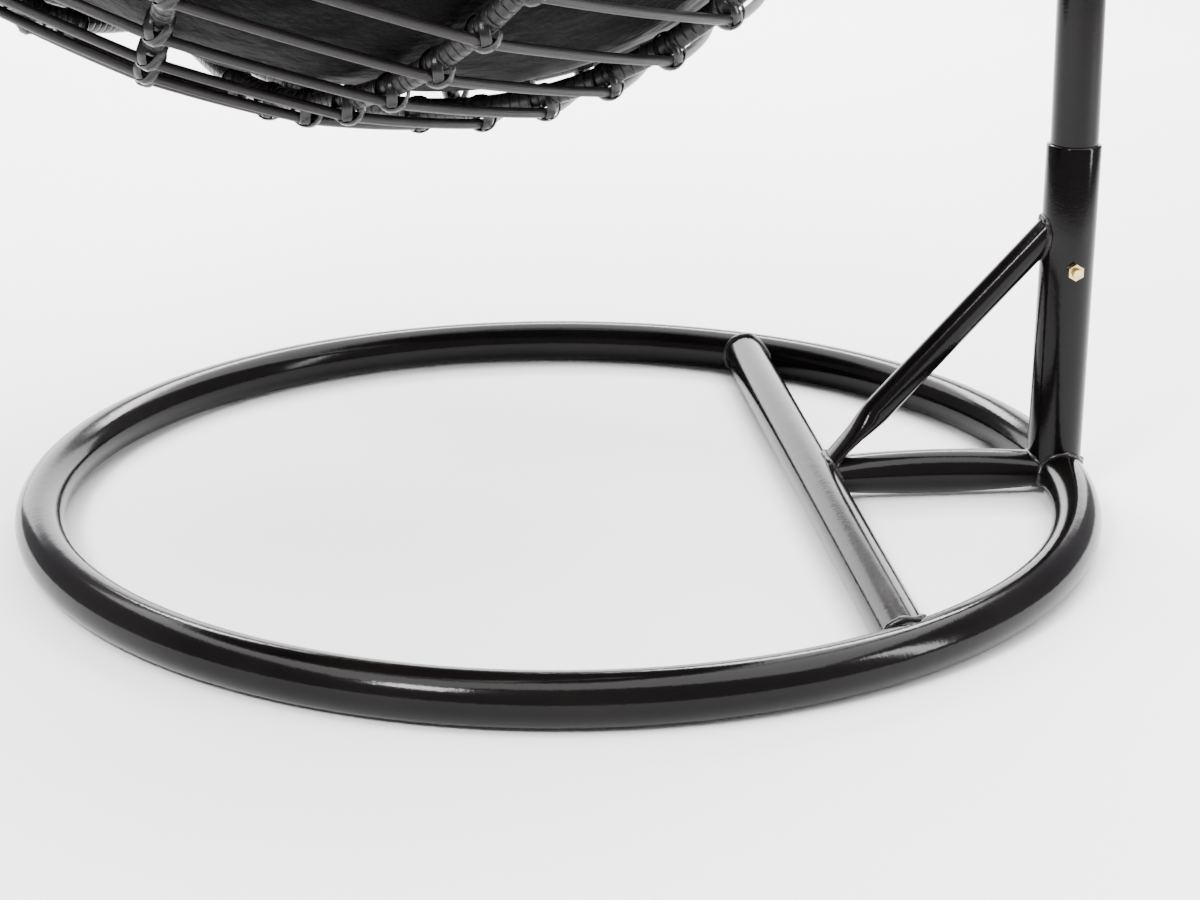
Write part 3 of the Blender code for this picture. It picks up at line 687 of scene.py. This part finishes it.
def make_rings(look, coat):
    rod_piece("wrapped_rim", rim_points(), RIM_WIRE, BASKET, "basket", look, "cane_wrap",
              ["opening_rim"], 16, True)
    rod_piece("upper_ring", circle(TOP_RING_R, 60, TOP_H, TOP_SHIFT), RING_WIRE, BASKET, "basket",
              coat, "frame_black", ["top_ring"], 14, True)
    rod_piece("lower_ring", circle(BOTTOM_RING_R, 60, RIB_DEPTH), RING_WIRE, BASKET, "basket",
              coat, "frame_black", ["bottom_ring"], 14, True)


def shell_normal(radius, h, angle):
    """Outward direction of the egg's surface."""
    if h <= WIDEST_H:
        flat, rise = radius - SHELL_INSET, h - SHELL_ARC
    else:
        step = 0.004
        low, high = min(h, TOP_H - 2 * step), min(h, TOP_H - 2 * step) + step
        flat, rise = step, shell_radius(low) - shell_radius(high)
    return Vector((flat * cos(angle), flat * sin(angle), rise)).normalized()


def lash(shape, centre, along, out, low, high, seed):
    """Two crossed turns of strip that bind a hoop to the rod behind it."""
    lean = 0.12 * noise.noise(Vector((seed * 7.31, 0.5, 0.0)))
    for sign in (-1, 1):
        angle = sign * LASH_LEAN + lean
        way = Quaternion(out, angle) @ along
        band(shape, centre, way, out, LASH_HALF, low, high + 0.0006 * (sign + 1))


def make_lashings(look):
    """A lashing wherever a hoop crosses a rib, and where it ends on the rim."""
    shape = bmesh.new()
    low, high = -RIB_DEPTH - RIB_WIRE - 0.0006, HOOP_WIRE + 0.0004
    seed = 0
    for radius, h in hoop_rows():
        limit = hoop_limit(radius, h)
        angles = [RIB_STEP * (number + 0.5) for number in range(-RIB_COUNT // 2, RIB_COUNT // 2)]
        for angle in [a for a in angles if on_rib(radius, h, a)]:
            seed += 1
            along = Vector((-sin(angle), cos(angle), 0.0))
            out = shell_normal(radius, h, angle)
            lash(shape, hoop_point(radius, h, angle), along, out, low, high, seed)
        for angle in [] if limit is None else [-limit, limit]:
            seed += 1
            along = Vector((-sin(angle), cos(angle), 0.0))
            out = shell_normal(radius, h, angle)
            centre = hoop_point(radius, h, angle) + along * (0.008 if angle > 0 else -0.008)
            lash(shape, centre, along, out, low - 0.003, high, seed)
    add("lashings", shape, BASKET, "basket", look, "cane_wrap")


# ---- the cushions --------------------------------------------------------------------------
def keep_inside(point):
    """Hold a cushion's point behind the ribs, with a small bulge allowed between two of them."""
    angle = math.atan2(point.y, point.x - shell_shift(point.z))
    off = abs((angle / RIB_STEP) % 1.0 - 0.5) * 2.0
    depth = RIB_DEPTH + RIB_WIRE + 0.0015 - 0.0110 * off ** 1.5 * (1.0 - upper_share(point.z))
    radius = math.hypot(point.x - shell_shift(point.z), point.y)
    if point.z <= WIDEST_H:
        flat = max(0.0, radius - SHELL_INSET)
        reach = math.hypot(flat, SHELL_ARC - point.z)
        limit = SHELL_ARC - depth
        if reach <= limit:
            return point
        new_flat, new_z = flat * limit / reach, SHELL_ARC - (SHELL_ARC - point.z) * limit / reach
        new_radius = radius - flat + new_flat
    else:
        new_radius = min(radius, shell_radius(point.z) - depth * (1 + LEAN_ROOM * upper_share(point.z)))
        new_z = point.z
    ratio = new_radius / radius if radius else 1.0
    x = (point.x - shell_shift(point.z)) * ratio + shell_shift(point.z)
    return Vector((x, point.y * ratio, new_z))


def seat_shape():
    """A dished round pad, a little smaller than the bowl."""
    outer = [row for row in meridian(0.029) if row[1] < 0.245]
    outer = resample([(0.0, outer[0][1])] + outer, 30)
    rim_r, rim_h = outer[-1]
    top = [(0.0, 0.112), (0.08, 0.114), (0.15, 0.124), (0.21, 0.141), (0.27, 0.162), (0.32, 0.190),
           (rim_r - 0.085, 0.236), (rim_r - 0.045, rim_h + 0.010), (rim_r - 0.014, rim_h + 0.014)]
    profile = top + outer[::-1]
    shape = bmesh.new()
    steps = 96
    rings = []
    for r, h in profile:
        if r == 0.0:
            rings.append([shape.verts.new((shell_shift(h), 0.0, h))] * steps)
        else:
            rings.append([shape.verts.new((shell_shift(h) + r * cos(a), r * sin(a), h))
                          for a in (2 * pi * s / steps for s in range(steps))])
    for upper, lower in zip(rings, rings[1:]):
        for step in range(steps):
            after = (step + 1) % steps
            corners = [upper[step], upper[after], lower[after], lower[step]]
            unique = [v for k, v in enumerate(corners) if v not in corners[:k]]
            if len(unique) > 2:
                shape.faces.new(unique)
    return shape


def back_shape():
    """A curved pad that stands on the seat and leans on the back of the egg."""
    wall = meridian(0.040)
    columns, rows = 72, 48
    thick = 0.072
    shape = bmesh.new()

    def spot(u, v, inner):
        edge = max(abs(u), abs(v))
        squeeze = edge / (abs(u) ** 5 + abs(v) ** 5) ** 0.2 if edge else 1.0
        u, v = u * squeeze, v * squeeze
        h = 0.625 + 0.300 * v
        radius = min(wall, key=lambda row: abs(row[1] - h))[0]
        radius -= inner * thick * math.sqrt(max(0.0, 1.0 - edge ** 6))
        angle = radians(70) * u
        return Vector((shell_shift(h) + radius * cos(angle), radius * sin(angle), h))

    grid = []
    for inner in (0, 1):
        grid.append([[shape.verts.new(spot(2 * c / columns - 1, 2 * r / rows - 1, inner))
                      for c in range(columns + 1)] for r in range(rows + 1)])
    for sheet in grid:
        for r in range(rows):
            for c in range(columns):
                shape.faces.new((sheet[r][c], sheet[r][c + 1], sheet[r + 1][c + 1], sheet[r + 1][c]))
    bmesh.ops.remove_doubles(shape, verts=shape.verts, dist=0.0004)
    return shape


def voxel_mesh(name, shape, size):
    bmesh.ops.recalc_face_normals(shape, faces=shape.faces)
    mesh = bpy.data.meshes.new(name)
    shape.to_mesh(mesh)
    shape.free()
    made = bpy.data.objects.new(name, mesh)
    bpy.context.scene.collection.objects.link(made)
    remesh = made.modifiers.new("even_faces", "REMESH")
    remesh.mode = "VOXEL"
    remesh.voxel_size = size
    settle(made)
    return made


def settle(made):
    """Replace an object's mesh by what its modifiers make of it."""
    bpy.context.view_layer.update()
    seen = made.evaluated_get(bpy.context.evaluated_depsgraph_get())
    mesh = bpy.data.meshes.new_from_object(seen)
    made.modifiers.clear()
    made.data = mesh


def stuff(made, seam, pressure):
    """Inflate the cloth, with its seams held, and keep the movement small."""
    start = [vertex.co.copy() for vertex in made.data.vertices]
    pins = made.vertex_groups.new(name="seams")
    for vertex in made.data.vertices:
        pins.add([vertex.index], seam(vertex.co), "REPLACE")
    cloth_step = made.modifiers.new("stuffing", "CLOTH")
    settings = cloth_step.settings
    settings.quality = 4
    settings.use_pressure = True
    settings.uniform_pressure_force = pressure
    settings.vertex_group_mass = "seams"
    settings.effector_weights.gravity = 0.0
    cloth_step.collision_settings.use_self_collision = False
    cloth_step.point_cache.frame_end = PUFF_FRAMES
    for step in range(1, PUFF_FRAMES + 1):
        bpy.context.scene.frame_set(step)
    settle(made)
    bpy.context.scene.frame_set(1)
    for vertex, before in zip(made.data.vertices, start):
        move = vertex.co - before
        if move.length > PUFF_CAP:
            move *= PUFF_CAP / move.length
        vertex.co = before + move
    made.vertex_groups.clear()


def finish_cushion(made, node, look):
    for vertex in made.data.vertices:
        spot = vertex.co * 9.0
        ruck = noise.noise(spot) + 0.5 * noise.noise(spot * 2.3)
        vertex.co = vertex.co + vertex.normal * (0.0032 * ruck)
        vertex.co = keep_inside(vertex.co)
    round_off = made.modifiers.new("round", "SUBSURF")
    round_off.levels = 1
    round_off.render_levels = 1
    settle(made)
    made.data.transform(BASKET)
    made.data.materials.clear()
    made.data.materials.append(look)
    made.data.shade_smooth()
    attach(made, "basket")
    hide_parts(node)


def seat_seam(point):
    """Held along the rim and along the pad's ring seam."""
    radius = math.hypot(point.x, point.y)
    rim = point.z > 0.238 and radius > 0.37
    ring = abs(radius - SEAT_SEAM_R) < SEAM_HALF and point.z > 0.10
    return 1.0 if rim or ring else 0.0


def back_seam(point):
    """Held along the two upright channels on the sitter's side."""
    angle = math.atan2(point.y, point.x - shell_shift(point.z))
    near = min(abs(angle - turn) for turn in (-BACK_SEAM, BACK_SEAM))
    inside = math.hypot(point.x - shell_shift(point.z), point.y) < shell_radius(point.z) - 0.075
    return 1.0 if inside and near * shell_radius(point.z) < SEAM_HALF else 0.0


def make_cushions(look):
    size = CLOTH_SIZE
    for name, shape, seam, node in (("seat_pad", seat_shape(), seat_seam, "seat_cushion"),
                                    ("back_pad", back_shape(), back_seam, "back_cushion")):
        pad = voxel_mesh(name, shape, size)
        stuff(pad, seam, PUFF_PRESSURE)
        finish_cushion(pad, node, look)


# ---- CAD nodes that stay -------------------------------------------------------------------
def paint_nodes(looks):
    """Give the small CAD pieces that are shown as they are their own finishes."""
    for names, look in looks:
        for name in names:
            frame["nodes"][name].data.materials.clear()
            frame["nodes"][name].data.materials.append(look)


# ---- studio --------------------------------------------------------------------------------
def soft_light(name, place, aim, size, power):
    data = bpy.data.lights.new(name, "AREA")
    data.shape = "RECTANGLE"
    data.size, data.size_y = size
    data.energy = power
    made = bpy.data.objects.new(name, data)
    bpy.context.scene.collection.objects.link(made)
    made.location = place
    made.rotation_euler = (Vector(aim) - Vector(place)).to_track_quat("-Z", "Y").to_euler()
    made.visible_camera = False


def make_studio(paint):
    mesh = bpy.data.meshes.new("floor")
    half = 14.0
    mesh.from_pydata([(-half, -half, 0), (half, -half, 0), (half, half, 0), (-half, half, 0)], [],
                     [(0, 1, 2, 3)])
    mesh.materials.append(paint)
    floor = bpy.data.objects.new("floor", mesh)
    bpy.context.scene.collection.objects.link(floor)
    world = bpy.data.worlds.new("studio")
    world.use_nodes = True
    world.node_tree.nodes["Background"].inputs["Color"].default_value = (0.95, 0.93, 1.0, 1.0)
    world.node_tree.nodes["Background"].inputs["Strength"].default_value = 0.60
    bpy.context.scene.world = world
    soft_light("overhead", (0.0, 1.2, 4.6), (0.0, 1.2, 0.0), (8.0, 8.0), 1500.0)
    soft_light("key", (-1.6, -2.4, 2.6), (0.0, 0.0, 0.2), (0.8, 0.8), 190.0)
    soft_light("back", (0.4, 3.4, 2.6), (0.1, 0.0, 0.2), (3.0, 0.7), 260.0)
    soft_light("horizon", (0.2, 4.4, 1.05), (0.1, 0.0, 0.3), (6.0, 1.7), 190.0)
    soft_light("side", (2.8, -1.2, 1.3), (0.2, 0.0, 0.3), (0.4, 1.8), 80.0)


def make_camera():
    """From the side of the chair, with the post on the right, tilted down at the base."""
    data = bpy.data.cameras.new("camera")
    data.sensor_width = 36.0
    data.lens = 71.3
    data.shift_y = -0.04
    made = bpy.data.objects.new("camera", data)
    bpy.context.scene.collection.objects.link(made)
    made.location = (-0.0728, -2.0213, 0.7428)
    yaw, pitch, roll = radians(5.961), radians(17.868), radians(0.246)
    forward = Vector((sin(yaw) * cos(pitch), cos(yaw) * cos(pitch), -sin(pitch)))
    made.rotation_mode = "QUATERNION"
    made.rotation_quaternion = Quaternion(forward, -roll) @ forward.to_track_quat("-Z", "Y")
    bpy.context.scene.camera = made


def main():
    coat, weld = powder_coat(), weld_coat()
    bright = metal("hanger_zinc", (0.24, 0.24, 0.25), (0.36, 0.36, 0.37), (0.30, 0.42), 70.0)
    yellow = metal("bolt_zinc_yellow", (0.50, 0.36, 0.15), (0.78, 0.64, 0.36), (0.24, 0.36), 140.0)
    rod, wrap = cane(), wrapped()
    make_stand(coat, weld)
    make_hanger(bright, coat)
    make_hoops(rod)
    make_ribs(wrap)
    make_rings(wrap, coat)
    make_lashings(strip())
    make_cushions(cloth())
    paint_nodes(((["base_bolt", "base_nut", "arch_bolt", "arch_nut"], yellow),
                 (["spring_top_hook", "spring_coil", "swivel_cup", "swivel_eye"], bright),
                 (["arch_end_cap"], plastic_cap())))
    make_studio(floor_paint())
    make_camera()


main()
